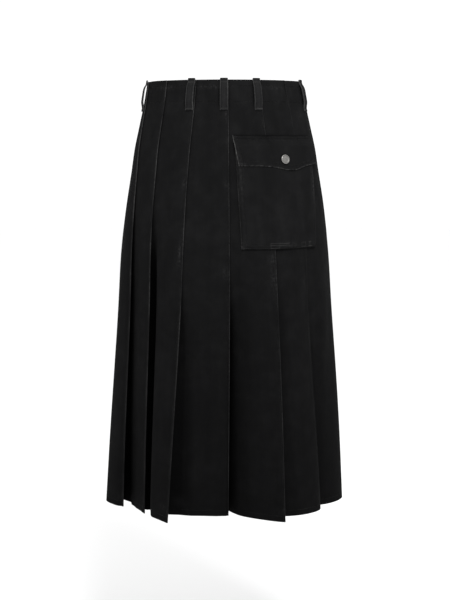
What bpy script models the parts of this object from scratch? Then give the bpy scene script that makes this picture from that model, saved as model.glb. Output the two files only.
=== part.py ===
"""Pleated denim skirt, worn: fourteen knife pleats, seven belt loops and a flapped cargo pocket.

Lengths are in metres and angles in degrees.  +Z is up and the skirt's back faces -Y.  The origin is
the middle of the waist opening, a little below the top edge, where the wearer's waist holds it.

Each pleat is a gore of its own: a panel that starts in the inner fold of the pleat before it, passes
under that pleat's fold edge, shows, ends in its own fold edge, and turns back under itself to its
own inner fold.  Going round the skirt, angles grow from the back (0) to the wearer's right (90).
"""
import math
from bisect import bisect_right
from typing import NamedTuple

import bmesh
import bpy
from mathutils import Vector

# ---- Driving dimensions ---------------------------------------------------------------------

TOP_EDGE_Z = 0.020       # top edge above the origin
LENGTH = 0.769           # top edge to hem
CLOTH = 0.0012           # thickness of the denim
SEAM_GAP = 0.0003        # between pieces that are sewn together
LAYER = CLOTH + SEAM_GAP

CREASE = 0.003           # stretch beside a fold edge that its edge stitching holds flat
UNDERLAY_AT_WAIST = 8.5  # degrees of cloth turned under at the top edge
FALL_START = 0.06        # depth from which the pleats begin to stand in and out of the body's ring
FALL_POWER = 1.3         # how that grows towards the hem
RELEASE_RUN = 0.16       # length over which a released pleat swings open

HIDDEN_STEPS = 2         # columns in each lap of a panel
SHOWN_STEPS = 4          # columns in the rest of it
RING_DEPTHS = (0.0, 0.028, 0.057, 0.100, 0.150, 0.220, 0.300, 0.400, 0.520, 0.645, LENGTH)


class Girth(NamedTuple):
    """The body's ring at one depth below the top edge, without the pleats' layers."""
    depth: float
    half_width: float
    back: float
    front: float


GIRTHS = (
    Girth(0.000, 0.137, 0.099, 0.097),
    Girth(0.040, 0.144, 0.105, 0.102),
    Girth(0.080, 0.153, 0.112, 0.107),
    Girth(0.120, 0.162, 0.119, 0.111),
    Girth(0.160, 0.168, 0.125, 0.115),
    Girth(0.220, 0.177, 0.131, 0.120),
    Girth(0.300, 0.186, 0.137, 0.126),
    Girth(0.400, 0.193, 0.142, 0.132),
    Girth(0.520, 0.202, 0.146, 0.138),
    Girth(0.640, 0.210, 0.149, 0.143),
    Girth(LENGTH, 0.217, 0.150, 0.148),
)

EDGE_DEPTHS = (0.0, 0.160, 0.400, LENGTH)   # waist, hip, thigh and hem


class Pleat(NamedTuple):
    """One pleat: where its fold edge runs, where it is let go, and how it stands at the hem."""
    waist: float      # direction of the fold edge at the waist, hip, thigh and hem
    hip: float
    thigh: float
    hem: float
    release: float    # depth where the stitching ends and the pleat opens
    edge: float       # at the hem, how far the fold edge stands out of the body's ring
    belly: float      # the same for the middle of its panel
    tuck: float       # the same for its inner fold
    tuck_turn: float  # at the hem, degrees from the fold edge back to the inner fold


PLEATS = (
    Pleat(-80.0, -68.5, -62.5, -61.0, 0.160, -0.006, 0.003, -0.031, 18.0),
    Pleat(-47.5, -45.8, -43.0, -40.5, 0.196, 0.002, -0.018, -0.034, 12.0),
    Pleat(-21.2, -22.0, -21.5, -22.6, 0.330, 0.044, 0.020, -0.003, 13.0),
    Pleat(2.2, 2.2, 2.4, 1.6, 0.310, -0.020, -0.014, -0.076, 5.6),
    Pleat(25.8, 26.4, 26.0, 24.0, 0.305, 0.040, 0.003, -0.002, 5.4),
    Pleat(49.0, 51.5, 50.0, 55.0, 0.340, -0.007, 0.007, -0.031, 9.0),
    Pleat(76.0, 81.0, 85.0, 88.0, 0.300, 0.000, -0.013, -0.036, 12.0),
    Pleat(102.0, 106.0, 110.0, 113.0, 0.310, 0.006, -0.006, -0.034, 12.0),
    Pleat(128.0, 131.0, 134.0, 137.0, 0.270, 0.014, 0.001, -0.030, 12.0),
    Pleat(154.0, 156.0, 158.0, 160.0, 0.220, 0.006, 0.002, -0.040, 9.0),
    Pleat(180.0, 181.0, 182.0, 183.0, 0.240, -0.005, 0.000, -0.046, 8.0),
    Pleat(205.0, 206.0, 207.0, 208.0, 0.230, 0.014, 0.002, -0.032, 9.0),
    Pleat(229.0, 231.0, 233.0, 234.0, 0.190, 0.008, 0.004, -0.034, 12.0),
    Pleat(254.0, 259.0, 263.0, 265.0, 0.170, 0.002, 0.000, -0.034, 13.0),
)

LOOP_WIDTH = 0.0132
LOOP_CLOTH = 0.0018      # folded strip
LOOP_INSET = 0.0005      # from the fold edge to the loop's side


class LoopStation(NamedTuple):
    """One place along a belt loop, from its top end down."""
    depth: float
    stand: float     # clear of the panel, as a share of the loop's bow


LOOP_STATIONS = (
    LoopStation(-0.0025, 0.0),
    LoopStation(0.0040, 0.0),
    LoopStation(0.0085, 0.62),
    LoopStation(0.0150, 1.0),
    LoopStation(0.0290, 1.0),
    LoopStation(0.0370, 0.86),
    LoopStation(0.0450, 0.25),
    LoopStation(0.0490, 0.0),
    LoopStation(0.0540, 0.0),
)

# belt loop: the pleat whose fold edge it stands beside, and its bow
LOOPS = {
    "belt_loop_side_left": (0, 0.0060),
    "belt_loop_back_left": (2, 0.0060),
    "belt_loop_back_centre": (3, 0.0060),
    "belt_loop_back_right": (4, 0.0060),
    "belt_loop_side_right": (6, 0.0060),
    "belt_loop_front_right": (9, 0.0060),
    "belt_loop_front_left": (11, 0.0060),
}

POCKET_MOUTH = 0.114     # depth of the pocket's open top
POCKET_BOTTOM = 0.294
POCKET_LEFT = (6.1, 8.8)      # direction of its sides at the mouth and at the bottom
POCKET_RIGHT = (66.2, 58.5)
POCKET_STAND = 0.0035    # its outer face above the skirt along its sides
POCKET_PUFF = 0.0060     # more in its middle
POCKET_ROWS = (0.0, 0.17, 0.37, 0.58, 0.80, 0.94, 1.0)   # shares of its height
FOOT_GAP = 0.0009        # under sewn edges that are straight between their own points
POCKET_CORNER_LIFT = 0.25     # share of its sides' height left open at the lower corners
CORNER_SHARE = 0.3       # share of its first and last columns that the corners' feet take
POCKET_PLEATS = (4, 5)   # the two fold edges that pass under it

FLAP_CLOTH = 0.0022      # two layers
FLAP_TOP = 0.096
FLAP_SEWN = 0.008        # height of its stitched top
FLAP_LEFT = (4.6, 7.9)   # direction of its sides at its top and at its corners
FLAP_RIGHT = (66.8, 69.2)
FLAP_CORNER = 0.146      # depth that its sides' lower directions are given for
FLAP_SHARES = (0.0, 0.27, 0.535, 0.76, 1.0)              # along its lower edge, from its left
FLAP_DEPTHS = (0.1495, 0.1505, 0.1570, 0.1492, 0.1452)   # corner, level run, point, rise, corner
FLAP_CLEAR = 0.0006      # over the pocket

METAL_SIDES = 20         # facets round the snap and the button
SNAP_TURN = 35.1         # direction of the snap
SNAP_DEPTH = 0.138
SNAP_PROFILE = (         # radius and height, from the middle of the back to the middle of the face
    (0.0, 0.0), (0.0078, 0.0), (0.0083, 0.0008), (0.0079, 0.0021),
    (0.0067, 0.0027), (0.0056, 0.0021), (0.0, 0.0023),
)
BUTTON_PLEAT = 10        # the waist button sits on the centre front panel
BUTTON_BACK = 9.0        # degrees from that panel's fold edge
BUTTON_DEPTH = 0.018
BUTTON_PROFILE = (
    (0.0, 0.0), (0.0032, 0.0), (0.0032, 0.0024), (0.0080, 0.0024), (0.0085, 0.0034),
    (0.0080, 0.0046), (0.0062, 0.0051), (0.0050, 0.0044), (0.0, 0.0046),
)

DENIM = (0.012, 0.012, 0.013)
PEWTER = (0.42, 0.41, 0.39)


# ---- Small maths ----------------------------------------------------------------------------

def between(start, end, share):
    return start + (end - start) * share


def held_to_unit(value):
    return min(max(value, 0.0), 1.0)


def eased(share):
    """0 to 1 with a soft start and end."""
    share = held_to_unit(share)
    return share * share * (3 - 2 * share)


def spread(start, end, steps):
    """The start and the places after it, evenly spaced, without the end."""
    return [between(start, end, step / steps) for step in range(steps)]


def curve_through(places, values, place):
    """Read a smooth curve that passes through the values at the given places."""
    spans = range(len(places) - 1)
    steps = [(values[i + 1] - values[i]) / (places[i + 1] - places[i]) for i in spans]
    slopes = [steps[0]] + [(a + b) / 2 for a, b in zip(steps, steps[1:])] + [steps[-1]]
    i = min(max(bisect_right(places, place) - 1, 0), len(steps) - 1)
    span = places[i + 1] - places[i]
    t = (place - places[i]) / span
    rise = values[i] * (1 + 2 * t) * (1 - t) ** 2 + values[i + 1] * (3 - 2 * t) * t ** 2
    return rise + span * (slopes[i] * t * (1 - t) ** 2 - slopes[i + 1] * (1 - t) * t ** 2)


def curve_through_three(places, values, place):
    """Read the parabola through three points."""
    (p0, p1, p2), (v0, v1, v2) = places, values
    return (v0 * (place - p1) * (place - p2) / ((p0 - p1) * (p0 - p2))
            + v1 * (place - p0) * (place - p2) / ((p1 - p0) * (p1 - p2))
            + v2 * (place - p0) * (place - p1) / ((p2 - p0) * (p2 - p1)))


# ---- The skirt's surfaces -------------------------------------------------------------------

def body_point(angle, depth, rise):
    """A point at an angle round the body, a depth below the top edge and a rise off its ring."""
    girth_depth = min(max(depth, 0.0), LENGTH)
    depths = [girth.depth for girth in GIRTHS]
    half_width = curve_through(depths, [girth.half_width for girth in GIRTHS], girth_depth)
    turn = math.radians(angle)
    fore = math.cos(turn) > 0
    half_depths = [girth.back if fore else girth.front for girth in GIRTHS]
    half_depth = curve_through(depths, half_depths, girth_depth)
    return Vector(((half_width + rise) * math.sin(turn),
                   -(half_depth + rise) * math.cos(turn),
                   TOP_EDGE_Z - depth))


def whole_turns(index):
    """Degrees to add to a pleat's angles, so that they grow on past the last pleat."""
    return 360.0 * (index // len(PLEATS))


def pleat_at(index):
    return PLEATS[index % len(PLEATS)]


def edge_angle(index, depth):
    pleat = pleat_at(index)
    course = (pleat.waist, pleat.hip, pleat.thigh, pleat.hem)
    return whole_turns(index) + curve_through(EDGE_DEPTHS, course, min(max(depth, 0.0), LENGTH))


def tuck_angle(index, depth):
    share = held_to_unit(depth / LENGTH)
    return edge_angle(index, depth) - between(UNDERLAY_AT_WAIST, pleat_at(index).tuck_turn, share)


def fall(depth):
    """Share of the hem's form that the cloth has reached at a depth."""
    return held_to_unit((depth - FALL_START) / (LENGTH - FALL_START)) ** FALL_POWER


def opening(index, depth):
    """0 where the pleat is held shut, 1 where it hangs fully open."""
    return eased((depth - pleat_at(index).release) / RELEASE_RUN)


def shut_rise(index, angle, depth):
    """Hem form of shut cloth between the fold edges of the pleat before and this one."""
    start = edge_angle(index - 1, depth)
    share = eased((angle - start) / (edge_angle(index, depth) - start))
    return between(pleat_at(index - 1).edge, pleat_at(index).edge, share)


def panel_rise(index, angle, depth):
    """Rise of a panel's middle surface off the body's ring."""
    before, own = pleat_at(index - 1), pleat_at(index)
    hidden_start = tuck_angle(index - 1, depth)
    start = edge_angle(index - 1, depth)
    end = edge_angle(index, depth)
    along = held_to_unit((angle - start) / (tuck_angle(index, depth) - start))
    open_rise = curve_through_three((hidden_start, (start + end) / 2, end),
                                    (before.tuck, own.belly, own.edge), angle)
    shut = shut_rise(index - 1 if angle < start else index, angle, depth)
    open_share = between(opening(index - 1, depth), opening(index, depth), along)
    return 2 * LAYER * along + fall(depth) * between(shut, open_rise, open_share)


def underlay_rise(index, angle, depth):
    """The same for the cloth turned back under a fold edge."""
    own = pleat_at(index)
    start = tuck_angle(index, depth)
    share = (angle - start) / (edge_angle(index, depth) - start)
    open_rise = between(own.tuck, own.edge, share)
    shut = shut_rise(index, angle, depth)
    return LAYER + fall(depth) * between(shut, open_rise, opening(index, depth))


def showing_panel(angle, depth):
    """Index of the panel that shows at an angle."""
    index = 0
    while edge_angle(index, depth) < angle:
        index += 1
    while edge_angle(index - 1, depth) >= angle:
        index -= 1
    return index


def panel_columns(index, depth):
    """Angles of a panel's points: the part hidden by the pleat before, what shows, its own lap."""
    hidden_start, start = tuck_angle(index - 1, depth), edge_angle(index - 1, depth)
    tuck, edge = tuck_angle(index, depth), edge_angle(index, depth)
    return (spread(hidden_start, start, HIDDEN_STEPS) + spread(start, tuck, SHOWN_STEPS)
            + spread(tuck, edge, HIDDEN_STEPS))


def outer_rise(angle, depth):
    """Rise of the skirt's outer face, straight between the points of its panels."""
    depth = max(depth, 0.0)
    index = showing_panel(angle, depth)
    columns = panel_columns(index, depth) + [edge_angle(index, depth)]
    c = min(bisect_right(columns, angle), len(columns) - 1)
    low, high = columns[c - 1], columns[c]
    rises = (panel_rise(index, low, depth), panel_rise(index, high, depth))
    return between(*rises, (angle - low) / (high - low)) + CLOTH / 2


def bridge_rise(angle, depth):
    """Rise of a smooth face that lies on the fold edges and spans the panels between them."""
    index = showing_panel(angle, depth)
    return 2 * LAYER + CLOTH / 2 + fall(depth) * shut_rise(index, angle, depth)


# ---- Mesh builders --------------------------------------------------------------------------

def cloth_finish(name):
    return finish(name, DENIM, roughness=0.92, metallic=0.0)


def metal_finish(name):
    return finish(name, PEWTER, roughness=0.34, metallic=1.0)


def finish(name, colour, roughness, metallic):
    material = bpy.data.materials.new(name)
    material.use_nodes = True
    shader = material.node_tree.nodes["Principled BSDF"]
    shader.inputs["Base Color"].default_value = (*colour, 1.0)
    shader.inputs["Roughness"].default_value = roughness
    shader.inputs["Metallic"].default_value = metallic
    return material


def add_object(name, points, faces, material):
    shape = bmesh.new()
    corners = [shape.verts.new(point) for point in points]
    for face in faces:
        shape.faces.new([corners[i] for i in face])
    bmesh.ops.recalc_face_normals(shape, faces=shape.faces)
    mesh = bpy.data.meshes.new(name)
    shape.to_mesh(mesh)
    shape.free()
    mesh.materials.append(material)
    piece = bpy.data.objects.new(name, mesh)
    bpy.context.collection.objects.link(piece)
    return piece


def add_wall(name, face_rows, back_rows, turned_from=None):
    """A closed wall between two grids of points of the same size.

    Columns from turned_from on run back the other way, so their squares are cut along the other
    diagonal, which keeps the layers of a pleat parallel.
    """
    rows, columns = len(face_rows), len(face_rows[0])
    turned_from = columns if turned_from is None else turned_from
    points = [point for row in face_rows + back_rows for point in row]

    def face(row, column):
        return row * columns + column

    def back(row, column):
        return (rows + row) * columns + column

    faces = []
    for side in (face, back):
        for r in range(rows - 1):
            for c in range(columns - 1):
                square = [side(r, c), side(r, c + 1), side(r + 1, c + 1), side(r + 1, c)]
                if c >= turned_from:
                    square = square[1:] + square[:1]
                faces.append(square[:3])
                faces.append([square[0], square[2], square[3]])
    for r in range(rows - 1):
        for c in (0, columns - 1):
            faces.append([face(r, c), face(r + 1, c), back(r + 1, c)])
            faces.append([face(r, c), back(r + 1, c), back(r, c)])
    for c in range(columns - 1):
        for r in (0, rows - 1):
            faces.append([face(r, c), face(r, c + 1), back(r, c + 1)])
            faces.append([face(r, c), back(r, c + 1), back(r, c)])
    return add_object(name, points, faces, cloth_finish(name))


def add_turned(name, profile, centre, axis):
    """A closed round piece from a profile of radius and height along an axis."""
    across = axis.orthogonal().normalized()
    up = axis.cross(across)
    points = [centre + axis * profile[0][1]]
    for radius, height in profile[1:-1]:
        for side in range(METAL_SIDES):
            turn = math.tau * side / METAL_SIDES
            arm = across * math.cos(turn) + up * math.sin(turn)
            points.append(centre + axis * height + arm * radius)
    points.append(centre + axis * profile[-1][1])
    last = len(points) - 1
    rings = len(profile) - 2
    faces = []
    for side in range(METAL_SIDES):
        beside = (side + 1) % METAL_SIDES
        faces.append([0, 1 + side, 1 + beside])
        top = 1 + (rings - 1) * METAL_SIDES
        faces.append([last, top + side, top + beside])
        for ring in range(rings - 1):
            low = 1 + ring * METAL_SIDES
            high = low + METAL_SIDES
            faces.append([low + side, low + beside, high + beside])
            faces.append([low + side, high + beside, high + side])
    return add_object(name, points, faces, metal_finish(name))


# ---- Pleated panels -------------------------------------------------------------------------

def inner_fold(index, depth):
    """Where a pleat's underlay ends and the next panel begins, a layer apart at the inner fold."""
    tuck, edge = tuck_angle(index, depth), edge_angle(index, depth)
    halfway = between(tuck, edge, 1 / HIDDEN_STEPS)
    under_end, under_next = (body_point(angle, depth, underlay_rise(index, angle, depth))
                             for angle in (tuck, halfway))
    panel_start, panel_next = (body_point(angle, depth, panel_rise(index + 1, angle, depth))
                               for angle in (tuck, halfway))
    fold = (under_end + panel_start) / 2
    forward = ((under_next + panel_next) / 2 - fold).normalized()
    apart = Vector((forward.y, -forward.x, 0.0)) * (LAYER / 2)
    return fold + apart, fold - apart


def panel_course(index, depth):
    """Middle line of one panel and its underlay at a depth, and where the underlay begins."""
    columns, edge = panel_columns(index, depth), edge_angle(index, depth)
    course = [body_point(angle, depth, panel_rise(index, angle, depth)) for angle in columns]
    under = [body_point(angle, depth, underlay_rise(index, angle, depth))
             for angle in columns[-HIDDEN_STEPS:]]
    course[0] = inner_fold(index - 1, depth)[1]
    under[0] = inner_fold(index, depth)[0]
    fold_rise = (panel_rise(index, edge, depth) + underlay_rise(index, edge, depth)) / 2
    fold = body_point(edge, depth, fold_rise)
    forward = (fold - (course[-1] + under[-1]) / 2).normalized()
    outward = Vector((forward.y, -forward.x, 0.0)) * (LAYER / 2)
    for back in (CREASE, LAYER / 2):
        course.append(fold - forward * back + outward)
    course.append(fold)
    turned_from = len(course) - 1
    for back in (LAYER / 2, CREASE):
        course.append(fold - forward * back - outward)
    return course + under[::-1], turned_from


def offset_line(course, distance):
    """A level line moved sideways, square to itself, to its right."""
    moved = []
    for i, point in enumerate(course):
        arriving = (point - course[i - 1]).normalized() if i > 0 else None
        leaving = (course[i + 1] - point).normalized() if i < len(course) - 1 else None
        heading = (arriving or leaving) + (leaving or arriving)
        heading.normalize()
        stretch = 1 / max(heading.dot(arriving or leaving), 0.6)
        moved.append(point + Vector((heading.y, -heading.x, 0.0)) * distance * stretch)
    return moved


def add_panel(index):
    face_rows, back_rows = [], []
    for depth in RING_DEPTHS:
        course, turned_from = panel_course(index, depth)
        face_rows.append(offset_line(course, CLOTH / 2))
        back_rows.append(offset_line(course, -CLOTH / 2))
    add_wall(f"pleat_panel_{index + 1:02d}", face_rows, back_rows, turned_from)


# ---- Belt loops -----------------------------------------------------------------------------

def add_belt_loop(name, index, bow):
    """A strip beside a fold edge, sewn down at both ends and bowed out for the belt."""
    edge = edge_angle(index, 0.0)
    arc = (body_point(edge, 0.0, 0.0) - body_point(edge - 1.0, 0.0, 0.0)).length
    face_rows, back_rows = [], []
    for station in LOOP_STATIONS:
        edge = edge_angle(index, station.depth)
        sides = (edge - (LOOP_WIDTH + LOOP_INSET) / arc, edge - LOOP_INSET / arc)
        angles = spread(*sides, 2) + [sides[1]]
        stand = SEAM_GAP + bow * station.stand
        clear = [outer_rise(angle, station.depth) + stand for angle in angles]
        back_rows.append([body_point(a, station.depth, c) for a, c in zip(angles, clear)])
        face_rows.append([body_point(a, station.depth, c + LOOP_CLOTH)
                          for a, c in zip(angles, clear)])
    add_wall(name, face_rows, back_rows)


# ---- Cargo pocket ---------------------------------------------------------------------------

def columns_over_pleats(left, right, depth):
    """Angles across the pocket or flap, with one on each fold edge under it."""
    first, second = (edge_angle(index, depth) for index in POCKET_PLEATS)
    return spread(left, first, 3) + spread(first, second, 4) + spread(second, right, 2) + [right]


def pocket_side_angles(depth):
    share = (depth - POCKET_MOUTH) / (POCKET_BOTTOM - POCKET_MOUTH)
    return between(*POCKET_LEFT, share), between(*POCKET_RIGHT, share)


def pocket_rise(angle, depth):
    """Rise of the pocket's outer face, flat at its sides and fuller in its middle."""
    left, right = pocket_side_angles(depth)
    across = held_to_unit((angle - left) / (right - left))
    down = held_to_unit((depth - POCKET_MOUTH) / (POCKET_BOTTOM - POCKET_MOUTH))
    puff = math.sin(math.pi * across) ** 0.8 * math.sin(math.pi * between(0.25, 1.0, down)) ** 0.8
    return bridge_rise(angle, depth) + POCKET_STAND + POCKET_PUFF * puff


def degrees_of(length, angle, depth):
    """The angle that a short length spans on the skirt."""
    return length / (body_point(angle + 1.0, depth, 0.0) - body_point(angle, depth, 0.0)).length


def pocket_skin(inset):
    """Points of the bag's outer skin, or of its inner skin when inset by the cloth.

    A row crosses the front from one foot to the other, and the last row is the bottom's foot.  The
    feet of the row before it stop a little above the corners, so that no two points meet.
    """
    rows = []
    bottom = POCKET_BOTTOM - inset
    for share in POCKET_ROWS:
        depth = min(between(POCKET_MOUTH, POCKET_BOTTOM, share), bottom)
        left, right = pocket_side_angles(depth)
        angles = columns_over_pleats(left + degrees_of(inset, left, depth),
                                     right - degrees_of(inset, right, depth), depth)
        front = [(angle, depth, pocket_rise(angle, depth) - inset) for angle in angles]
        lift = POCKET_CORNER_LIFT if depth == bottom else 0.0
        feet = [(angle, depth, between(foot_rise(angle, depth), rise, lift))
                for angle, depth, rise in (front[0], front[-1])]
        rows.append([feet[0]] + front + [feet[1]])
    beside = [between(angles[0], angles[1], CORNER_SHARE)]
    beside_last = [between(angles[-1], angles[-2], CORNER_SHARE)]
    foot_angles = angles[:1] + beside + angles[1:-1] + beside_last + angles[-1:]
    rows.append([(angle, bottom, foot_rise(angle, bottom)) for angle in foot_angles])
    return [[body_point(*place) for place in row] for row in rows]


def foot_rise(angle, depth):
    """Rise of an edge that is sewn down to the skirt."""
    return outer_rise(angle, depth) + FOOT_GAP


def add_pocket():
    """The bag: a front with its sides and bottom turned in to the skirt, open at the top."""
    outer_skin, inner_skin = pocket_skin(0.0), pocket_skin(CLOTH)
    last_cell = len(outer_skin[0]) - 2
    add_wall("cargo_pocket", outer_skin, inner_skin, last_cell)


def flap_bottom(across):
    """Depth of the flap's lower edge, with its shaped point."""
    return curve_through(FLAP_SHARES, FLAP_DEPTHS, across)


def flap_inner_rise(angle, depth):
    """Rise of the flap's inner face: seated on the skirt at its top, over the pocket below."""
    seat = foot_rise(angle, depth)
    over = pocket_rise(angle, depth) + FLAP_CLEAR
    lift = eased((depth - FLAP_TOP - FLAP_SEWN) / (POCKET_MOUTH - FLAP_TOP - FLAP_SEWN))
    return between(seat, over, lift)


def add_flap():
    face_rows, back_rows = [], []
    for row in range(6):
        face_row, back_row = [], []
        corner_share = (0.0, 0.15, 0.42, 0.62, 0.82, 1.0)[row]
        left, right = (between(*side, corner_share) for side in (FLAP_LEFT, FLAP_RIGHT))
        level = between(FLAP_TOP, FLAP_CORNER, corner_share)
        for angle in columns_over_pleats(left, right, level):
            bottom = flap_bottom((angle - left) / (right - left))
            depths = (FLAP_TOP, FLAP_TOP + FLAP_SEWN, POCKET_MOUTH)
            below = spread(POCKET_MOUTH, bottom, 3)[1:] + [bottom]
            depth = (list(depths) + below)[row]
            rise = flap_inner_rise(angle, depth)
            back_row.append(body_point(angle, depth, rise))
            face_row.append(body_point(angle, depth, rise + FLAP_CLOTH))
        face_rows.append(face_row)
        back_rows.append(back_row)
    add_wall("pocket_flap", face_rows, back_rows)


# ---- Snap and waist button ------------------------------------------------------------------

def facing(rise_at, angle, depth):
    """A point on a face given by its rise, and the direction square to the face."""
    step_turn, step_down = 1.0, 0.004
    point = body_point(angle, depth, rise_at(angle, depth))
    beside = body_point(angle + step_turn, depth, rise_at(angle + step_turn, depth))
    before = body_point(angle - step_turn, depth, rise_at(angle - step_turn, depth))
    below = body_point(angle, depth + step_down, rise_at(angle, depth + step_down))
    above = body_point(angle, depth - step_down, rise_at(angle, depth - step_down))
    return point, (beside - before).cross(above - below).normalized()


def add_snap():
    point, out = facing(lambda angle, depth: flap_inner_rise(angle, depth) + FLAP_CLOTH,
                        SNAP_TURN, SNAP_DEPTH)
    add_turned("flap_snap", SNAP_PROFILE, point + out * SEAM_GAP, out)


def add_waist_button():
    angle = edge_angle(BUTTON_PLEAT, BUTTON_DEPTH) - BUTTON_BACK
    point, out = facing(outer_rise, angle, BUTTON_DEPTH)
    add_turned("waist_button", BUTTON_PROFILE, point + out * SEAM_GAP, out)


def clear_scene():
    for piece in list(bpy.data.objects):
        bpy.data.objects.remove(piece, do_unlink=True)


def build():
    clear_scene()
    for index in range(len(PLEATS)):
        add_panel(index)
    for name, (index, bow) in LOOPS.items():
        add_belt_loop(name, index, bow)
    add_pocket()
    add_flap()
    add_snap()
    add_waist_button()


build()
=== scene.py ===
"""Looks of the pleated denim skirt, worn: its cloth, stitching, snap and button.

Lengths are in metres and angles in degrees.  +Z is up and the skirt's back faces -Y.  Going round
the skirt, angles grow from the back (0) to the wearer's right (90).  A place on the cloth is an
angle, a depth below the top edge, and a rise off the body's ring.
"""
import math
from functools import reduce
from typing import NamedTuple

import bmesh
import bpy
import numpy as np
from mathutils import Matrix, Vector


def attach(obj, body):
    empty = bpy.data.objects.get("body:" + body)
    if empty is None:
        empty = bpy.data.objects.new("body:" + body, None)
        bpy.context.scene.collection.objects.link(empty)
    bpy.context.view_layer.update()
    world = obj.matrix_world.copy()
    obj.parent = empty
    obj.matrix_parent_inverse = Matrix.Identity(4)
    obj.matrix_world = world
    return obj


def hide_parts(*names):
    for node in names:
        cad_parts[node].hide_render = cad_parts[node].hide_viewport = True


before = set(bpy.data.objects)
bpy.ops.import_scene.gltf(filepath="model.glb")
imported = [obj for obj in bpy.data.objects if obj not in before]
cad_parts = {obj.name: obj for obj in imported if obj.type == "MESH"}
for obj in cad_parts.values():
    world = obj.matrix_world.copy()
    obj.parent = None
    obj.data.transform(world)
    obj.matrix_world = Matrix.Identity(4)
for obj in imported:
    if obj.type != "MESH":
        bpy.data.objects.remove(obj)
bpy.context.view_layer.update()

BODY = "root"


# ---- The skirt's sizes, as its pattern has them ----

TOP_EDGE_Z = 0.020       # top edge above the origin
LENGTH = 0.769           # top edge to hem
CLOTH = 0.0012           # thickness of the denim
SEAM_GAP = 0.0003        # between pieces that are sewn together
LAYER = CLOTH + SEAM_GAP

CREASE = 0.003           # stretch beside a fold edge that its edge stitching holds flat
UNDERLAY_AT_WAIST = 8.5  # degrees of cloth turned under at the top edge
FALL_START = 0.06        # depth from which the pleats begin to stand in and out of the body's ring
FALL_POWER = 1.3         # how that grows towards the hem
RELEASE_RUN = 0.16       # length over which a released pleat swings open

# the body's ring, without the pleats' layers: depth below the top edge, half width, back and front
GIRTHS = (
    (0.000, 0.137, 0.099, 0.097),
    (0.040, 0.144, 0.105, 0.102),
    (0.080, 0.153, 0.112, 0.107),
    (0.120, 0.162, 0.119, 0.111),
    (0.160, 0.168, 0.125, 0.115),
    (0.220, 0.177, 0.131, 0.120),
    (0.300, 0.186, 0.137, 0.126),
    (0.400, 0.193, 0.142, 0.132),
    (0.520, 0.202, 0.146, 0.138),
    (0.640, 0.210, 0.149, 0.143),
    (LENGTH, 0.217, 0.150, 0.148),
)

EDGE_DEPTHS = (0.0, 0.160, 0.400, LENGTH)   # waist, hip, thigh and hem


class Pleat(NamedTuple):
    """One pleat: where its fold edge runs, where it is let go, and how it stands at the hem."""
    waist: float      # direction of the fold edge at the waist, hip, thigh and hem
    hip: float
    thigh: float
    hem: float
    release: float    # depth where the stitching ends and the pleat opens
    edge: float       # at the hem, how far the fold edge stands out of the body's ring
    belly: float      # the same for the middle of its panel
    tuck: float       # the same for its inner fold
    tuck_turn: float  # at the hem, degrees from the fold edge back to the inner fold


PLEATS = (
    Pleat(-80.0, -68.5, -62.5, -61.0, 0.160, -0.006, 0.003, -0.027, 18.0),
    Pleat(-47.5, -45.8, -43.0, -40.5, 0.196, 0.002, -0.018, -0.034, 12.0),
    Pleat(-21.2, -22.0, -21.5, -22.6, 0.330, 0.044, 0.020, -0.003, 13.0),
    Pleat(2.2, 2.2, 2.4, 1.6, 0.310, -0.020, -0.014, -0.076, 5.6),
    Pleat(25.8, 26.4, 26.0, 24.0, 0.305, 0.040, 0.003, -0.002, 5.4),
    Pleat(49.0, 51.5, 50.0, 55.0, 0.340, -0.007, 0.007, -0.031, 9.0),
    Pleat(76.0, 81.0, 85.0, 88.0, 0.300, 0.000, -0.013, -0.036, 12.0),
    Pleat(102.0, 106.0, 110.0, 113.0, 0.310, 0.006, -0.006, -0.034, 12.0),
    Pleat(128.0, 131.0, 134.0, 137.0, 0.270, 0.014, 0.001, -0.030, 12.0),
    Pleat(154.0, 156.0, 158.0, 160.0, 0.220, 0.006, 0.002, -0.040, 9.0),
    Pleat(180.0, 181.0, 182.0, 183.0, 0.240, -0.005, 0.000, -0.046, 8.0),
    Pleat(205.0, 206.0, 207.0, 208.0, 0.230, 0.014, 0.002, -0.032, 9.0),
    Pleat(229.0, 231.0, 233.0, 234.0, 0.190, 0.008, 0.004, -0.034, 12.0),
    Pleat(254.0, 259.0, 263.0, 265.0, 0.170, 0.002, 0.000, -0.034, 13.0),
)

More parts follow.
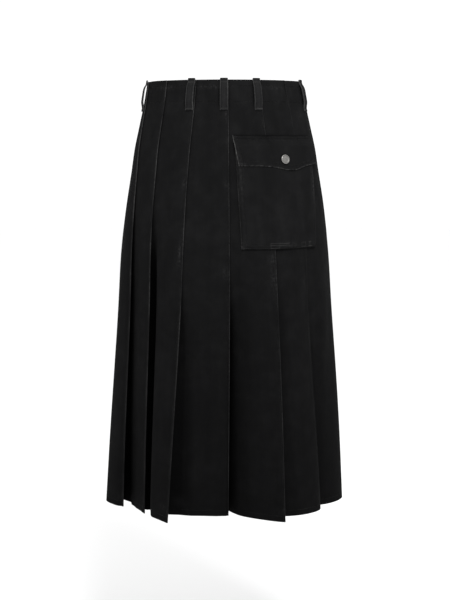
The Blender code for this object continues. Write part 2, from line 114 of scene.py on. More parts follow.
# soft creases and hollows: direction, depth, lean from upright, half length, half
# width and height off the cloth
CREASES = (
    (-58.0, 0.075, 35.0, 0.050, 0.012, -0.0012),
    (-33.0, 0.120, -20.0, 0.070, 0.014, 0.0012),
    (-10.0, 0.090, 12.0, 0.060, 0.013, -0.0010),
    (-12.0, 0.250, -8.0, 0.110, 0.016, 0.0016),
    (-30.0, 0.330, 6.0, 0.120, 0.015, -0.0016),
    (-52.0, 0.420, 4.0, 0.160, 0.014, 0.0016),
    (-8.0, 0.520, 5.0, 0.150, 0.018, -0.0022),
    (-16.0, 0.640, -3.0, 0.110, 0.014, 0.0018),
    (12.0, 0.070, -18.0, 0.050, 0.012, 0.0010),
    (36.0, 0.060, 24.0, 0.060, 0.013, -0.0010),
    (58.0, 0.085, -30.0, 0.060, 0.014, 0.0012),
    (10.0, 0.420, 3.0, 0.130, 0.015, 0.0020),
    (15.0, 0.600, -4.0, 0.130, 0.014, -0.0018),
    (36.0, 0.400, 6.0, 0.120, 0.016, 0.0018),
    (41.0, 0.590, -3.0, 0.120, 0.014, -0.0016),
    (66.0, 0.360, -6.0, 0.140, 0.016, 0.0020),
    (72.0, 0.560, 3.0, 0.160, 0.015, -0.0020),
    (96.0, 0.220, 8.0, 0.120, 0.016, 0.0016),
    (92.0, 0.480, -5.0, 0.150, 0.016, -0.0020),
    (120.0, 0.300, 6.0, 0.140, 0.016, 0.0018),
    (118.0, 0.600, -3.0, 0.120, 0.015, -0.0018),
    (146.0, 0.180, -14.0, 0.080, 0.014, -0.0014),
    (144.0, 0.450, 5.0, 0.160, 0.016, 0.0020),
    (170.0, 0.140, 16.0, 0.070, 0.014, 0.0012),
    (168.0, 0.400, -4.0, 0.150, 0.017, -0.0020),
    (194.0, 0.170, -12.0, 0.080, 0.015, 0.0013),
    (192.0, 0.520, 5.0, 0.150, 0.016, 0.0020),
    (218.0, 0.240, 8.0, 0.120, 0.015, -0.0016),
    (222.0, 0.560, -4.0, 0.130, 0.016, 0.0018),
    (246.0, 0.180, -10.0, 0.090, 0.015, 0.0014),
    (250.0, 0.430, 5.0, 0.150, 0.016, -0.0018),
    (274.0, 0.300, -6.0, 0.120, 0.016, 0.0016),
)
CREASES_START = 0.03     # depth over which the creases and waves begin
MEAN_RADIUS = 0.160      # of the ring, which turns a small angle into a width
# how far an open pleat's panel falls in (or stands out, below 0) beside the fold edge before it,
# for how many degrees past that edge, and over how many it comes back, by the index of the panel
VALLEYS = {0: (0.007, 1.0, 7.0), 1: (-0.006, 5.0, 12.0), 2: (0.026, 2.6, 3.0),
           3: (0.002, 0.2, 6.0), 13: (0.005, 0.8, 6.0)}
VALLEY = (0.007, 0.6, 6.0)
# long shallow waves: how many round the skirt, height at the hem, turn, and turn gained by the hem
WAVES = ((9, 0.0012, 20.0, 70.0), (16, 0.0008, 140.0, -110.0), (25, 0.0005, 65.0, 160.0))
WAVE_POWER = 1.5         # how they grow towards the hem


# ---- Small maths, on arrays ----

def between(start, end, share):
    return start + (end - start) * share


def clamped(value):
    return np.clip(value, 0.0, 1.0)


def eased(share):
    """0 to 1 with a soft start and end."""
    share = clamped(share)
    return share * share * (3 - 2 * share)


def unit(vectors):
    """The same directions, of length 1."""
    return vectors / np.maximum(np.linalg.norm(vectors, axis=-1, keepdims=True), 1e-12)


def sideways(headings):
    """Level directions square to level headings, to the outside of the skirt."""
    return np.stack([headings[..., 1], -headings[..., 0], np.zeros(headings.shape[:-1])], axis=-1)


def spot(x, half_width, y=0.0, half_height=1.0):
    """A soft spot: 1 in its middle, fading away past its half sizes."""
    return np.exp(-(x / half_width) ** 2 - (y / half_height) ** 2)


def leaning_spot(x, y, lean, half_length, half_width):
    """A long soft spot that leans from upright by some degrees."""
    tilt = math.radians(lean)
    return spot(x * math.cos(tilt) + y * math.sin(tilt), half_width,
                y * math.cos(tilt) - x * math.sin(tilt), half_length)


def turn_past(start, angle):
    """Degrees from one direction to another, the short way round."""
    return (angle - start + 180.0) % 360.0 - 180.0


def arc_past(start, angle):
    """The same as a width on the skirt."""
    return np.radians(turn_past(start, angle)) * MEAN_RADIUS


def curve_through(places, values, place):
    """Read a smooth curve that passes through the values at the given places."""
    places, values = np.array(places), np.array(values)
    steps = np.diff(values) / np.diff(places)
    slopes = np.concatenate([steps[:1], (steps[1:] + steps[:-1]) / 2, steps[-1:]])
    i = np.clip(np.searchsorted(places, place, side="right") - 1, 0, len(steps) - 1)
    span = places[i + 1] - places[i]
    t = (place - places[i]) / span
    rise = values[i] * (1 + 2 * t) * (1 - t) ** 2 + values[i + 1] * (3 - 2 * t) * t ** 2
    return rise + span * (slopes[i] * t * (1 - t) ** 2 - slopes[i + 1] * (1 - t) * t ** 2)


def curve_through_three(places, values, place):
    """Read the parabola through three points."""
    (p0, p1, p2), (v0, v1, v2) = places, values
    return (v0 * (place - p1) * (place - p2) / ((p0 - p1) * (p0 - p2))
            + v1 * (place - p0) * (place - p2) / ((p1 - p0) * (p1 - p2))
            + v2 * (place - p0) * (place - p1) / ((p2 - p0) * (p2 - p1)))


def joined(*parts):
    """Points side by side along a row."""
    return np.concatenate(parts, axis=1)


# ---- The skirt's surfaces ----

def crease_rise(angle, depth):
    """Height of the creases and long waves, which every layer at one place shares."""
    total = np.zeros(np.broadcast(angle, depth).shape)
    for turn, level, lean, half_length, half_width, height in CREASES:
        total = total + height * leaning_spot(arc_past(turn, angle), depth - level, lean,
                                              half_length, half_width)
    share = clamped(depth / LENGTH)
    for count, height, turn, gained in WAVES:
        total = total + (height * share ** WAVE_POWER
                         * np.sin(np.radians(count * angle + turn + gained * share)))
    return total * eased(depth / CREASES_START)


def ring_at(depth):
    """The body's half width, and its back and front, at a depth."""
    depths, *reaches = zip(*GIRTHS)
    return [curve_through(depths, reach, np.clip(depth, 0.0, LENGTH)) for reach in reaches]


def body_point(angle, depth, rise):
    """A point at an angle round the body, a depth below the top edge and a rise off its ring."""
    angle, depth, rise = np.broadcast_arrays(angle, depth, rise)
    half_width, back, front = ring_at(depth)
    turn = np.radians(angle)
    half_depth = np.where(np.cos(turn) > 0, back, front)
    rise = rise + crease_rise(angle, depth)
    return np.stack([(half_width + rise) * np.sin(turn),
                     -(half_depth + rise) * np.cos(turn),
                     TOP_EDGE_Z - depth], axis=-1)


def degrees_of(length, angle, depth):
    """The angle that a short length spans on the skirt."""
    beside = body_point(angle + 1.0, depth, 0.0) - body_point(angle, depth, 0.0)
    return length / np.linalg.norm(beside, axis=-1)


def pleat_at(index):
    return PLEATS[index % len(PLEATS)]


def edge_angle(index, depth):
    directions = pleat_at(index)[:len(EDGE_DEPTHS)]
    return (360.0 * (index // len(PLEATS))
            + curve_through(EDGE_DEPTHS, directions, np.clip(depth, 0.0, LENGTH)))


def tuck_angle(index, depth):
    share = clamped(depth / LENGTH)
    return edge_angle(index, depth) - between(UNDERLAY_AT_WAIST, pleat_at(index).tuck_turn, share)


def fall(depth):
    """Share of the hem's form that the cloth has reached at a depth."""
    return clamped((depth - FALL_START) / (LENGTH - FALL_START)) ** FALL_POWER


def opening(index, depth):
    """0 where the pleat is held shut, 1 where it hangs fully open."""
    return eased((depth - pleat_at(index).release) / RELEASE_RUN)


def shut_rise(index, angle, depth):
    """Hem form of shut cloth between the fold edges of the pleat before and this one."""
    start = edge_angle(index - 1, depth)
    share = eased((angle - start) / (edge_angle(index, depth) - start))
    return between(pleat_at(index - 1).edge, pleat_at(index).edge, share)


def valley_depth(index, angle, depth):
    """How far a panel falls in beside the fold edge that opens over it."""
    deepest, floor, climb = VALLEYS.get(index % len(PLEATS), VALLEY)
    start = edge_angle(index - 1, depth)
    halfway = between(tuck_angle(index - 1, depth), start, 0.5)
    under = eased((angle - halfway) / (start - halfway))
    beyond = 1 - eased((angle - start - floor) / climb)
    return deepest * fall(depth) * opening(index - 1, depth) * np.minimum(under, beyond)


def panel_rise(index, angle, depth):
    """Rise of a panel's middle surface off the body's ring."""
    before, own = pleat_at(index - 1), pleat_at(index)
    hidden_start = tuck_angle(index - 1, depth)
    start = edge_angle(index - 1, depth)
    end = edge_angle(index, depth)
    along = clamped((angle - start) / (tuck_angle(index, depth) - start))
    open_rise = curve_through_three((hidden_start, (start + end) / 2, end),
                                    (before.tuck, own.belly, own.edge), angle)
    shut = np.where(angle < start, shut_rise(index - 1, angle, depth),
                    shut_rise(index, angle, depth))
    open_share = between(opening(index - 1, depth), opening(index, depth), along)
    return (2 * LAYER * along + fall(depth) * between(shut, open_rise, open_share)
            - valley_depth(index, angle, depth))


def underlay_rise(index, angle, depth):
    """The same for the cloth turned back under a fold edge."""
    own = pleat_at(index)
    start = tuck_angle(index, depth)
    share = (angle - start) / (edge_angle(index, depth) - start)
    open_rise = between(own.tuck, own.edge, share)
    shut = shut_rise(index, angle, depth)
    return LAYER + fall(depth) * between(shut, open_rise, opening(index, depth))


def over_showing_panels(reading, angle, depth):
    """Read a value on whichever panel shows at each place."""
    angle, depth = np.broadcast_arrays(angle, depth)
    result = np.zeros(angle.shape)
    for index in range(-1, len(PLEATS) + 1):
        here = (angle > edge_angle(index - 1, depth)) & (angle <= edge_angle(index, depth))
        result = np.where(here, reading(index, angle, depth), result)
    return result


def outer_rise(angle, depth):
    """Rise of the skirt's outer face."""
    depth = np.maximum(depth, 0.0)
    return over_showing_panels(panel_rise, angle, depth) + CLOTH / 2


def bridge_rise(angle, depth):
    """Rise of a smooth face that lies on the fold edges and spans the panels between them."""
    shut = over_showing_panels(shut_rise, angle, depth)
    return 2 * LAYER + CLOTH / 2 + fall(depth) * shut


# ---- Mesh builders ----

RIM_ROUND = 0.35         # how far a cloth's cut edge rounds out, in thicknesses


def grid_normals(points):
    """Directions square to a grid of points, to the outside of the skirt."""
    across = np.gradient(points, axis=1)
    down = np.gradient(points, axis=0)
    return unit(np.cross(down, across))


def rim_of(rows, columns):
    """Rows and columns of the places round a grid's border, in order."""
    down, across = np.arange(rows - 1), np.arange(columns - 1)
    return (np.concatenate([across * 0, down, across * 0 + rows - 1, rows - 1 - down]),
            np.concatenate([across, down * 0 + columns - 1, columns - 1 - across, down * 0]))


def lengths_along(grid, axis):
    """Distance along a grid's lines from their start."""
    steps = np.linalg.norm(np.diff(grid, axis=axis), axis=-1)
    return np.insert(np.cumsum(steps, axis=axis), 0, 0.0, axis=axis)


def show(name, data):
    """Put a mesh, a lamp or a camera in the scene as an object."""
    piece = bpy.data.objects.new(name, data)
    bpy.context.collection.objects.link(piece)
    return piece


def put_on(piece, node=None):
    """Fasten a piece to the skirt, in the place of the CAD node that it replaces."""
    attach(piece, BODY)
    if node:
        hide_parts(node)


def make_piece(name, points, faces, material):
    """A smooth mesh object whose faces point outwards."""
    mesh = bpy.data.meshes.new(name)
    mesh.from_pydata(points, [], faces)
    shape = bmesh.new()
    shape.from_mesh(mesh)
    bmesh.ops.recalc_face_normals(shape, faces=shape.faces)
    shape.to_mesh(mesh)
    shape.free()
    mesh.shade_smooth()
    mesh.materials.append(material)
    return show(name, mesh)


def make_wall(node, face, back, cloth_uv, reach, wear_and_painted_light, material):
    """A closed wall of cloth between two grids of points, with a rounded rim.

    cloth_uv is each point's place on the flat cloth, in metres; reach its distance to the nearest
    worn side, to the top and to the bottom; wear_and_painted_light how worn it is beyond that,
    painted highlights included, and below 0 how dark a painted shade makes it.
    """
    rows, columns = face.shape[:2]
    r, c = rim_of(rows, columns)
    inner_r, inner_c = np.clip(r, 1, rows - 2), np.clip(c, 1, columns - 2)
    middle = (face[r, c] + back[r, c]) / 2
    inner = (face[inner_r, inner_c] + back[inner_r, inner_c]) / 2
    thickness = np.linalg.norm(face[r, c] - back[r, c], axis=-1, keepdims=True)
    edge = middle + unit(middle - inner) * thickness * RIM_ROUND
    points = np.concatenate([face.reshape(-1, 3), back.reshape(-1, 3), edge])

    half = rows * columns
    grid = np.arange(half).reshape(rows, columns)
    quads = np.stack([grid[:-1, :-1], grid[:-1, 1:], grid[1:, 1:], grid[1:, :-1]],
                     axis=-1).reshape(-1, 4)
    near, rim = grid[r, c], 2 * half + np.arange(len(r))
    strips = [np.stack([a, np.roll(a, -1), np.roll(b, -1), b], axis=-1)
              for a, b in ((near, rim), (rim, near + half))]
    piece = make_piece(node + "_cloth", points, np.concatenate([quads, quads + half, *strips]),
                       material)

    def all_round(values):
        return np.concatenate([values.reshape(half, -1)] * 2 + [values[r, c].reshape(len(r), -1)])

    corners = np.empty(len(piece.data.loops), dtype=int)
    piece.data.loops.foreach_get("vertex_index", corners)
    layer = piece.data.uv_layers.new(name="cloth")
    layer.data.foreach_set("uv", all_round(cloth_uv)[corners].ravel())
    for key, kind, field, values in (("reach", "FLOAT_VECTOR", "vector", reach),
                                     ("wear_and_painted_light", "FLOAT", "value", wear_and_painted_light)):
        layer = piece.data.attributes.new(key, kind, "POINT")
        layer.data.foreach_set(field, all_round(values).ravel())
    put_on(piece, node)
    return piece


def make_turned(name, profile, centre, axis, material, sides=48):
    """A closed round piece from a profile of radius and height along an axis."""
    across = axis.orthogonal().normalized()
    up = axis.cross(across)
    turns = [math.tau * side / sides for side in range(sides)]
    arms = [across * math.cos(turn) + up * math.sin(turn) for turn in turns]
    rings = [centre + axis * height + arm * radius for radius, height in profile[1:-1]
             for arm in arms]
    points = [centre + axis * profile[0][1], *rings, centre + axis * profile[-1][1]]
    last, top = len(rings) + 1, len(rings) + 1 - sides
    faces = []
    for side in range(sides):
        beside = (side + 1) % sides
        faces += [(0, 1 + side, 1 + beside), (last, top + side, top + beside)]
        faces += [(low + side, low + beside, low + sides + beside, low + sides + side)
                  for low in range(1, top, sides)]
    return make_piece(name, points, faces, material)


# ---- Finishes ----

def feed(tree, socket, value):
    """Link a socket to a reading or a socket, or give it a constant."""
    value = getattr(value, "socket", value)
    if isinstance(value, bpy.types.NodeSocket):
        tree.links.new(value, socket)
    else:
        socket.default_value = value


def add_node(tree, kind, settings=None, sockets=None):
    """Add a node: its settings first, then its sockets' values or links."""
    node = tree.nodes.new(kind)
    for key, value in (settings or {}).items():
        setattr(node, key, value)
    for key, value in (sockets or {}).items():
        feed(tree, node.inputs[key], value)
    return node


def both_ways(operation):
    """Two methods that add a Math node: the reading comes first in it, or second."""
    return (lambda self, other=0.0: self.combine(operation, self, other),
            lambda self, other: self.combine(operation, other, self))


class Reading:
    """A socket that can be used in sums: each sum adds its Math node."""

    def __init__(self, recipe, socket):
        self.recipe = recipe
        self.socket = socket

    def combine(self, operation, first, second, held=False):
        settings = {"operation": operation, "use_clamp": held}
        return self.recipe.add("ShaderNodeMath", settings, {0: first, 1: second})

    __add__, __radd__ = both_ways("ADD")
    __sub__, __rsub__ = both_ways("SUBTRACT")
    __mul__ = both_ways("MULTIPLY")[0]
    __truediv__ = both_ways("DIVIDE")[0]
    __abs__ = both_ways("ABSOLUTE")[0]
    sine = both_ways("SINE")[0]
    larger = both_ways("MAXIMUM")[0]

    def held(self):
        """The same, kept from 0 to 1."""
        return self.combine("ADD", self, 0.0, held=True)


class Recipe:
    """One finish being mixed: a material, its surface shader and its readings."""

    def __init__(self, name):
        self.material = bpy.data.materials.new(name)
        self.material.use_nodes = True
        self.tree = self.material.node_tree

    def add(self, kind, settings=None, sockets=None, output=0):
        """Add a node and read one of its outputs."""
        return Reading(self, add_node(self.tree, kind, settings, sockets).outputs[output])

    def parts(self, vector):
        """The three readings of a vector."""
        split = add_node(self.tree, "ShaderNodeSeparateXYZ", sockets={0: vector})
        return [Reading(self, output) for output in split.outputs]

    def place(self, x, y, z=0.0):
        return self.add("ShaderNodeCombineXYZ", sockets={0: x, 1: y, 2: z})

    def noise(self, vector, scale, detail=2.0, roughness=0.5):
        """Even noise about 0, from -1 to 1."""
        reading = self.add("ShaderNodeTexNoise", {"noise_dimensions": "3D"},
                           {"Vector": vector, "Scale": scale, "Detail": detail,
                            "Roughness": roughness})
        return reading * 2.0 - 1.0

    def mixed(self, share, first, second):
        """A colour between two colours."""
        return self.add("ShaderNodeMix", {"data_type": "RGBA"},
                        {0: share, 6: first, 7: second}, output=2)

    def bump(self, height, distance, strength, **under):
        return self.add("ShaderNodeBump", sockets={"Strength": strength, "Distance": distance,
                                                   "Height": height, **under})

    def finish(self, sockets):
        for key, value in sockets.items():
            feed(self.tree, self.tree.nodes["Principled BSDF"].inputs[key], value)
        return self.material


BLACK_DENIM = (0.0059, 0.0059, 0.0061, 1.0)
FADED_DENIM = (0.0205, 0.0205, 0.0209, 1.0)
WORN_DENIM = (0.075, 0.074, 0.072, 1.0)
CHARCOAL, CHARCOAL_RUBBED = (0.0050, 0.0050, 0.0052, 1.0), (0.024, 0.0236, 0.0232, 1.0)
GREY, GREY_RUBBED = (0.020, 0.0197, 0.0193, 1.0), (0.060, 0.059, 0.057, 1.0)
DULL_PEWTER, BRIGHT_PEWTER = (0.150, 0.146, 0.140, 1.0), (0.290, 0.284, 0.272, 1.0)
TARNISH_AND_RIM_SHADE = (0.030, 0.029, 0.028, 1.0)

TWILL_PITCH = 0.0011     # between the cloth's diagonal ribs
YARN_PITCH = 0.00055
SEAM_REACH = 0.0016      # how far a row of stitches darkens the cloth, and how far it puckers it
PUCKER_REACH = 0.0050
SIDE_REACH, BOTTOM_REACH = 0.0015, 0.0022       # how far in its edges are rubbed
EDGE_ROW = 0.0022        # from a panel's fold edge to its stitches
WAIST_ROWS = (0.0105, 0.038)
HEM_ROW = 0.0100
# of a metal piece: how far out from the middle its groove and its rim lie, and how wide they are;
# the rim carries a painted shadow
GROOVE_OUT, GROOVE_RUN = 0.0061, 0.0009
RIM_OUT, RIM_RUN = 0.0079, 0.0012


class Wear(NamedTuple):
    """Where a piece of denim is stitched and rubbed, in metres from its sides, top and bottom."""
    side_seams: tuple
    top_seams: tuple
    bottom_seams: tuple
    side_rub: float       # how light its sides have worn, and their ends at its bottom
    bottom_rub: float
    all_over: float       # how washed it is everywhere


def denim(name, wear):
    """Washed black denim: twill ribs, slubs, uneven dye, puckered seams and rubbed edges, with
    painted shade.
    """
    mix = Recipe(name)
    u, v, _ = mix.parts(mix.add("ShaderNodeUVMap", {"uv_map": "cloth"}))
    reach = mix.add("ShaderNodeAttribute", {"attribute_name": "reach"}, output=1)
    side, top, bottom = mix.parts(reach)
    # wear above 0, painted shade below 0, and a painted highlight down the pocket's right side
    wear_and_painted_light = mix.add("ShaderNodeAttribute", {"attribute_name": "wear_and_painted_light"}, output=2)
    solid = mix.add("ShaderNodeTexCoord", output=3)

    def grain(across, down, detail=2.0, roughness=0.5):
        """Noise on the flat cloth, with its scale across and down it."""
        return mix.noise(mix.place(u * across, v * down), 1.0, detail, roughness)

    rib = ((u * 0.80 + v * 0.60) * (math.tau / TWILL_PITCH)).sine()
    yarn = (u * (math.tau / YARN_PITCH)).sine()
    slub = grain(900.0, 22.0)
    fleck = grain(1500.0, 1500.0, 1.0)
    streak = grain(240.0, 240.0, 3.0, 0.65)
    fade = grain(42.0, 2.6)
    dye = mix.noise(solid, 6.5, 3.0)
    mottle = mix.noise(solid, 42.0, 3.0, 0.6)
    spell = (mix.noise(solid, 17.0) * 1.5 + 0.62).held() * 0.80 + 0.20

    def along_rows(half_width):
        """1 on every row of stitches, and 0 a half width away from them all."""
        marks = [(1.0 - abs(distance - at) / half_width).held()
                 for distance, places in ((side, wear.side_seams), (top, wear.top_seams),
                                          (bottom, wear.bottom_seams)) for at in places]
        return reduce(Reading.larger, marks)

    def worn(distance, strength, width):
        return (1.0 - distance / width).held() * ((0.60 + streak * 0.9).held() * strength) * spell

    seam = along_rows(SEAM_REACH)
    pucker = grain(150.0, 150.0, 1.0) * along_rows(PUCKER_REACH)
    # its sides are lighter the nearer its top, and again at the corners of its bottom
    more_above = (1.20 - top * 0.95).larger(worn(bottom, wear.bottom_rub, BOTTOM_REACH))
    edges = worn(side, wear.side_rub, SIDE_REACH) * more_above
    patches = (wear_and_painted_light * (0.45 + streak * 1.7 + slub * 0.5)).held()
    faded = (edges * 2.0 + patches * 0.8 + (pucker * 0.40 * spell).held()
             + (mottle * 0.14 + dye * 0.12 + wear.all_over).held()).held()
    bare = (edges * edges * 0.9 + patches * patches * 0.50).held()

    # painted shade: darker where the wear attribute is below 0, and more towards each piece's
    # bottom; the rest is the dye's own unevenness, rib and darker seams
    hidden = (wear_and_painted_light * -1.0).held()
    dye_and_painted_shade = ((1.0 + fade * 0.26 + dye * 0.16 + mottle * 0.14 + slub * 0.14 + fleck * 0.16
                     + rib * 0.10)
                    * (0.97 - top * 0.28 - top * top * 0.42) * (1.0 - hidden * 0.94)
                    * (1.0 - seam * 0.20))
    colour = mix.mixed(bare, mix.mixed(faded, BLACK_DENIM, FADED_DENIM), WORN_DENIM)
    tone = mix.place(dye_and_painted_shade, dye_and_painted_shade, dye_and_painted_shade)
    colour = mix.add("ShaderNodeVectorMath", {"operation": "MULTIPLY"}, {0: colour, 1: tone})

    weave = mix.bump(rib * 0.6 + yarn * 0.25 + fleck * 0.35 + slub * 0.25, 0.00010, 0.8)
    raised = mix.bump(pucker * 0.8 - seam * 0.5 + mottle * 0.10, 0.0007, 0.9, Normal=weave)
    return mix.finish({"Base Color": colour, "Normal": raised,
                       "Roughness": 0.88 + fleck * 0.05 - bare * 0.08,
                       "Specular IOR Level": 0.022, "Sheen Weight": 0.002, "Sheen Roughness": 0.5})


def thread(name, dark, pale):
    """Sewing thread, rubbed paler here and there."""
    mix = Recipe(name)
    solid = mix.add("ShaderNodeTexCoord", output=3)
    rubbed = (mix.noise(solid, 40.0, 3.0) * 1.6 + 0.10).held()
    twist = mix.noise(solid, 2600.0, 1.0)
    return mix.finish({"Base Color": mix.mixed(rubbed, dark, pale),
                       "Normal": mix.bump(twist, 0.00008, 0.7),
                       "Roughness": 0.70 + twist * 0.08, "Specular IOR Level": 0.12})


def pewter(name, centre):
    """Dull plated metal, cloudy and finely scuffed, tarnished in the groove round its middle, with
    a painted shadow round its rim.
    """
    mix = Recipe(name)
    solid = mix.add("ShaderNodeTexCoord", output=3)
    cloud = mix.noise(solid, 160.0, 3.0)
    scuff = mix.noise(solid, 1400.0, 2.0, 0.7)
    out = mix.add("ShaderNodeVectorMath", {"operation": "DISTANCE"}, {0: solid, 1: centre}, 1)
    groove = (1.0 - abs(out - GROOVE_OUT) / GROOVE_RUN).held()
    # a painted shadow darkens the rim; the groove's tarnish is the metal's own
    rim = ((out - RIM_OUT) / RIM_RUN).held()
    colour = mix.mixed((cloud * 0.6 + 0.45).held(), DULL_PEWTER, BRIGHT_PEWTER)
    colour = mix.mixed((groove * 0.60 + rim * 0.45).held(), colour, TARNISH_AND_RIM_SHADE)
    return mix.finish({"Base Color": colour, "Metallic": 1.0,
                       "Normal": mix.bump(scuff + cloud * 0.4, 0.00006, 0.7),
                       "Roughness": 0.34 + cloud * 0.06 + scuff * 0.06 + groove * 0.25})


panel_denim = denim("washed_black_denim",
                    Wear((EDGE_ROW,), WAIST_ROWS, (HEM_ROW,), 0.90, 0.60, 0.02))
loop_denim = denim("belt_loop_denim", Wear((0.0022,), (), (), 0.75, 0.9, 0.30))
pocket_denim = denim("pocket_denim", Wear((0.0024, 0.0085), (), (0.0030, 0.0085), 1.1, 1.0, 0.04))
flap_denim = denim("flap_denim", Wear(*[(0.0020, 0.0070)] * 3, 1.3, 1.9, 0.03))
charcoal_thread = thread("charcoal_thread", CHARCOAL, CHARCOAL_RUBBED)
rubbed_thread = thread("rubbed_thread", GREY, GREY_RUBBED)


# ---- Sewing ----

STITCH_PITCH = 0.0032
STITCH_LENGTH = 0.0027
THREAD = 0.00050
TACK_PITCH = 0.00065
TACK_LENGTH = 0.0022
THREAD_RISE = 0.00005    # of a thread's middle off the cloth
STITCH_TILT, TACK_TILT = 0.10, 0.18      # how far threads lie askew, in radians


def row_along(points, outward, across=False):
    """A row of stitches: its points, the way each thread lies, and outward directions.

    A tack's threads lie across the line that they follow.
    """
    along = unit(np.gradient(points, axis=0))
    return points, unit(np.cross(along, outward)) if across else along, outward


def rows_on(face, lines, across=False):
    """Rows of stitches on a piece's face, along lines of its grid."""
    normals = grid_normals(face)
    lifted = face + normals * THREAD_RISE
    return [row_along(lifted[line], normals[line], across) for line in lines]


def stitch_tree():
    """Geometry Nodes that lay one thread at each pitch along rows of stitches."""
    tree = bpy.data.node_groups.new("stitches_along_rows", "GeometryNodeTree")
    for key, kind in (("Rows", "Geometry"), ("Pitch", "Float"), ("Stitch Length", "Float"),
                      ("Thread", "Float"), ("Tilt", "Float"), ("Finish", "Material")):
        tree.interface.new_socket(key, in_out="INPUT", socket_type="NodeSocket" + kind)
    tree.interface.new_socket("Stitches", in_out="OUTPUT", socket_type="NodeSocketGeometry")

    def add(kind, settings=None, sockets=None, output=0):
        return add_node(tree, kind, settings, sockets).outputs[output]

    given = add_node(tree, "NodeGroupInput").outputs
    line = add("GeometryNodeMeshToCurve", sockets={"Mesh": given["Rows"]})
    spaced = add("GeometryNodeResampleCurve", {"mode": "LENGTH"},
                 {"Curve": line, "Length": given["Pitch"]})
    ball = add("GeometryNodeMeshUVSphere", sockets={"Segments": 6, "Rings": 4, "Radius": 0.5})
    way, out = (add("GeometryNodeInputNamedAttribute", {"data_type": "FLOAT_VECTOR"},
                    {"Name": key}) for key in ("way", "outward"))
    laid = add("FunctionNodeAxesToRotation", {"primary_axis": "Z", "secondary_axis": "X"},
               {"Primary Axis": way, "Secondary Axis": out})
    low = add("ShaderNodeMath", {"operation": "MULTIPLY"}, {0: given["Tilt"], 1: -1.0})
    tilt = add("FunctionNodeRandomValue", {"data_type": "FLOAT"},
               {"Seed": 7, 2: low, 3: given["Tilt"]}, output=1)
    lean = add("FunctionNodeAxisAngleToRotation", sockets={"Axis": (1.0, 0.0, 0.0), "Angle": tilt})
    turned = add("FunctionNodeRotateRotation", {"rotation_space": "LOCAL"}, {0: laid, 1: lean})
    size = add("ShaderNodeCombineXYZ", sockets={0: given["Thread"], 1: given["Thread"],
                                                2: given["Stitch Length"]})
    placed = add("GeometryNodeInstanceOnPoints",
                 sockets={"Points": spaced, "Instance": ball, "Rotation": turned, "Scale": size})
    solid = add("GeometryNodeRealizeInstances", sockets={0: placed})
    finished = add("GeometryNodeSetMaterial",
                   sockets={"Geometry": solid, "Material": given["Finish"]})
    add_node(tree, "NodeGroupOutput", sockets={0: finished})
    return tree


STITCHES = stitch_tree()


def sew(name, rows, pitch=STITCH_PITCH, length=STITCH_LENGTH, tilt=STITCH_TILT,
        finish=charcoal_thread):
    """Rows of stitches as one plain mesh."""
    mesh = bpy.data.meshes.new(name + "_rows")
    points, ways, outward = (np.concatenate(values) for values in zip(*rows))
    starts = set(np.cumsum([len(row[0]) for row in rows]))
    mesh.from_pydata(points, [(i - 1, i) for i in range(1, len(points)) if i not in starts], [])
    for key, values in (("way", ways), ("outward", outward)):
        layer = mesh.attributes.new(key, "FLOAT_VECTOR", "POINT")
        layer.data.foreach_set("vector", values.ravel())
    holder = show(name + "_rows", mesh)
    modifier = holder.modifiers.new("stitches", "NODES")
    modifier.node_group = STITCHES
    given = {"Pitch": pitch, "Stitch Length": length, "Thread": THREAD, "Tilt": tilt,
             "Finish": finish}
    for item in STITCHES.interface.items_tree:
        if item.in_out == "INPUT" and item.name in given:
            modifier[item.identifier] = given[item.name]
    evaluated = holder.evaluated_get(bpy.context.evaluated_depsgraph_get())
    made = bpy.data.meshes.new_from_object(evaluated)
    made.name = name
    made.shade_smooth()
    bpy.data.objects.remove(holder, do_unlink=True)
    piece = show(name, made)
    put_on(piece)
    return piece


def sew_tacks(name, rows, pitch=TACK_PITCH, length=TACK_LENGTH):
    return sew(name, rows, pitch, length, TACK_TILT, rubbed_thread)


# ---- Pleated panels ----

DEPTHS = np.concatenate([np.linspace(0.0, 0.045, 13)[:-1],
                         np.linspace(0.045, LENGTH - 0.012, 96)[:-1],
                         np.linspace(LENGTH - 0.012, LENGTH, 7)])
FOLD_TURNS = np.radians(np.linspace(90.0, -90.0, 7))
# a panel's columns, as shares of half a lap, of the part up to its own lap, and of that lap
HALF_LAP, SHOWN, OVER_LAP = (np.linspace(0.0, 1.0, count)[None, :-1] for count in (5, 17, 7))
INNER_FOLD = 0.47        # from an inner fold to each sheet's middle, in thicknesses
ROW_START = 0.6          # degrees that a waist row starts past the fold edge before it
ROW_STOP = 1.2           # degrees that a level row stops before its own fold edge
HIDDEN_LAP_SHADE = -0.5        # painted shade on the laps hidden inside the pleats: below 0 the cloth is painted darker

# worn patches: direction, depth, half width, half height and strength
RUBS = (
    (-47.0, 0.012, 0.030, 0.0045, 0.55),
    (-10.0, 0.012, 0.040, 0.0040, 0.45),
    (38.0, 0.013, 0.035, 0.0040, 0.35),
    (62.0, 0.060, 0.020, 0.0160, 0.25),
    (-23.0, 0.305, 0.004, 0.0260, 0.50),
    (-23.0, 0.180, 0.004, 0.0100, 0.45),
    (0.5, 0.055, 0.003, 0.0150, 0.50),
    (0.5, 0.182, 0.004, 0.0060, 0.45),
    (0.0, 0.335, 0.006, 0.0100, 0.45),
    (24.0, 0.345, 0.005, 0.0260, 0.45),
    (24.0, 0.310, 0.006, 0.0060, 0.50),
    (47.0, 0.360, 0.004, 0.0200, 0.40),
    (-24.0, 0.745, 0.008, 0.0080, 0.60),
    (22.5, 0.752, 0.008, 0.0060, 0.50),
    (-63.0, 0.750, 0.008, 0.0080, 0.45),
    (53.0, 0.745, 0.007, 0.0080, 0.35),
)

